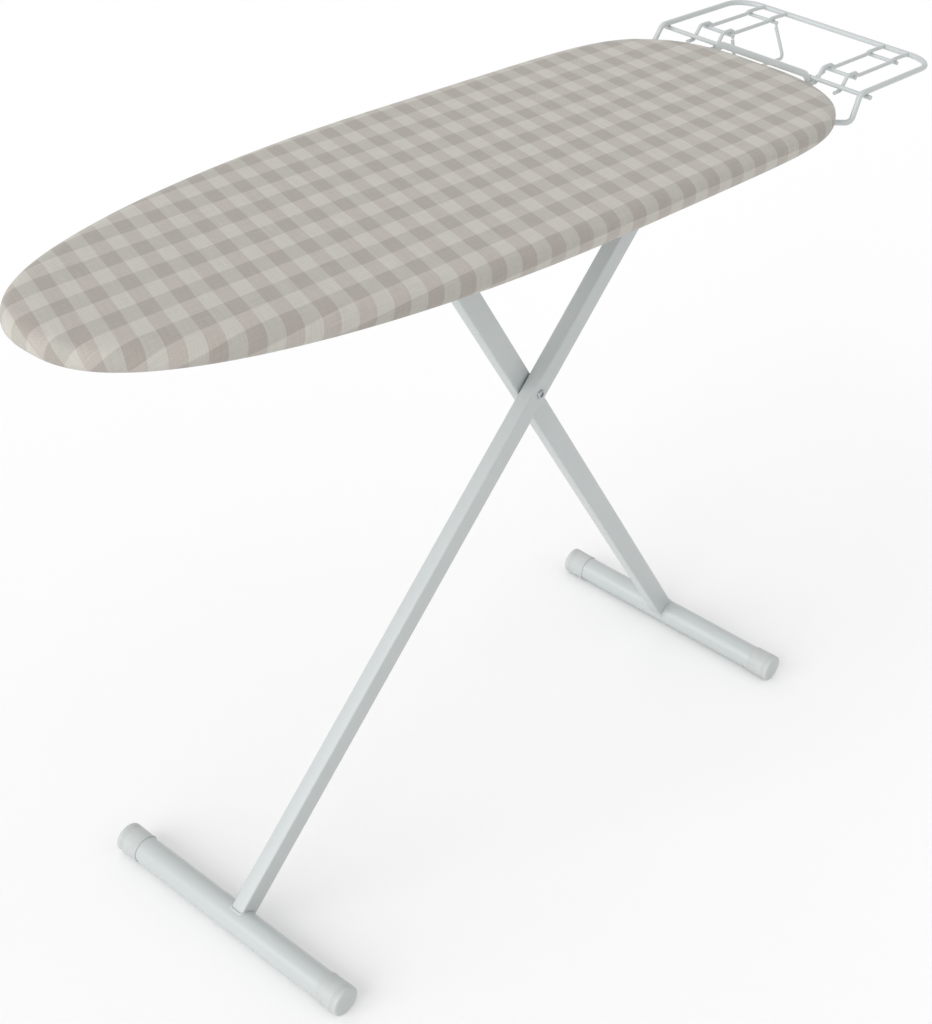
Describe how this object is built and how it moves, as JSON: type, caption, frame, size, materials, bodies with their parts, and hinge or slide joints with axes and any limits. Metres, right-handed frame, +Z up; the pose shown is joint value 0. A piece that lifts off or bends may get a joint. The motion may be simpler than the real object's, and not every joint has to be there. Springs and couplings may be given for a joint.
{
  "type": "ironing board",
  "caption": "Folding ironing board on crossed tube legs with T feet, padded gingham cover and a wire iron rest at the tail.",
  "frame": {"origin": "middle of the bounding box, on the floor", "axes": "+X towards the tail and the iron rest, +Y to the left, +Z up"},
  "size_m": [1.3798, 0.394, 0.949],
  "materials": {
    "cover_cotton": "matte gingham weave",
    "pad_foam": "matte foam and felt",
    "white_steel": "semi-gloss powder coat",
    "zinc_steel": "zinc plated",
    "white_plastic": "moulded, satin",
    "grey_plastic": "moulded, matte"
  },
  "bodies": {
    "board": {"cover": "cover_cotton", "pad": "pad_foam", "mesh_top": "white_steel", "rim_tube": "white_steel", "brace_front": "white_steel", "brace_middle": "white_steel", "brace_rear": "white_steel", "brace_tail": "white_steel", "rest_loop": "white_steel", "rest_cross_wire": "white_steel", "rest_strap": "white_steel", "ridge_inner_left": "white_steel", "ridge_inner_right": "white_steel", "ridge_outer_left": "white_steel", "ridge_outer_right": "white_steel", "ridge_tie_front_left": "white_steel", "ridge_tie_front_right": "white_steel", "ridge_tie_rear_left": "white_steel", "ridge_tie_rear_right": "white_steel", "hanging_loop": "white_steel", "rest_arm": "white_steel", "slide_rail_left": "zinc_steel", "slide_rail_right": "zinc_steel", "pivot_bracket_left": "zinc_steel", "pivot_bracket_right": "zinc_steel", "lever_rivet_left": "zinc_steel", "lever_rivet_right": "zinc_steel", "lever_spring": "zinc_steel", "loop_strap_left": "zinc_steel", "loop_strap_right": "zinc_steel", "loop_screw_left": "zinc_steel", "loop_screw_right": "zinc_steel", "strap_screw_left": "zinc_steel", "strap_screw_right": "zinc_steel", "hanging_loop_strap": "zinc_steel", "hanging_loop_screw": "zinc_steel", "rest_arm_strap": "zinc_steel", "rest_arm_screw": "zinc_steel"},
    "leg_front": {"leg_front_tube": "white_steel", "leg_front_fitting": "grey_plastic", "pivot_rod": "zinc_steel", "pivot_rod_clip_left": "zinc_steel", "pivot_rod_clip_right": "zinc_steel", "foot_front_tube": "white_steel", "foot_front_cap_left": "white_plastic", "foot_front_cap_right": "white_plastic", "centre_bolt": "zinc_steel", "centre_nut": "zinc_steel", "centre_washer": "white_plastic"},
    "leg_rear": {"leg_rear_tube": "white_steel", "leg_rear_fitting": "grey_plastic", "slider_rod": "zinc_steel", "slider_rod_clip_left": "zinc_steel", "slider_rod_clip_right": "zinc_steel", "foot_rear_tube": "white_steel", "foot_rear_cap_left": "white_plastic", "foot_rear_cap_right": "white_plastic"},
    "release_lever": {"release_yoke": "zinc_steel", "handle_arm": "zinc_steel", "handle_grip": "grey_plastic"}
  },
  "joints": [
    {"name": "leg_fold", "type": "hinge", "parent": "board", "child": "leg_front", "pos_m": [0.29422, 0, 0.897], "axis": [0, 1, 0], "range_deg": [0, 50.5]},
    {"name": "leg_cross", "type": "hinge", "parent": "leg_front", "child": "leg_rear", "pos_m": [0.08, 0, 0.603], "axis": [0, 1, 0], "range_deg": [-101.1, 0]},
    {"name": "lever_squeeze", "type": "hinge", "parent": "board", "child": "release_lever", "pos_m": [-0.33, 0, 0.9095], "axis": [0, -1, 0], "range_deg": [0, 2.2], "stiffness_Nm_per_rad": 60, "springref_deg": -1.15}
  ],
  "couplings": [
    {"joint": "leg_cross", "follows": "leg_fold", "ratio": -2}
  ]
}
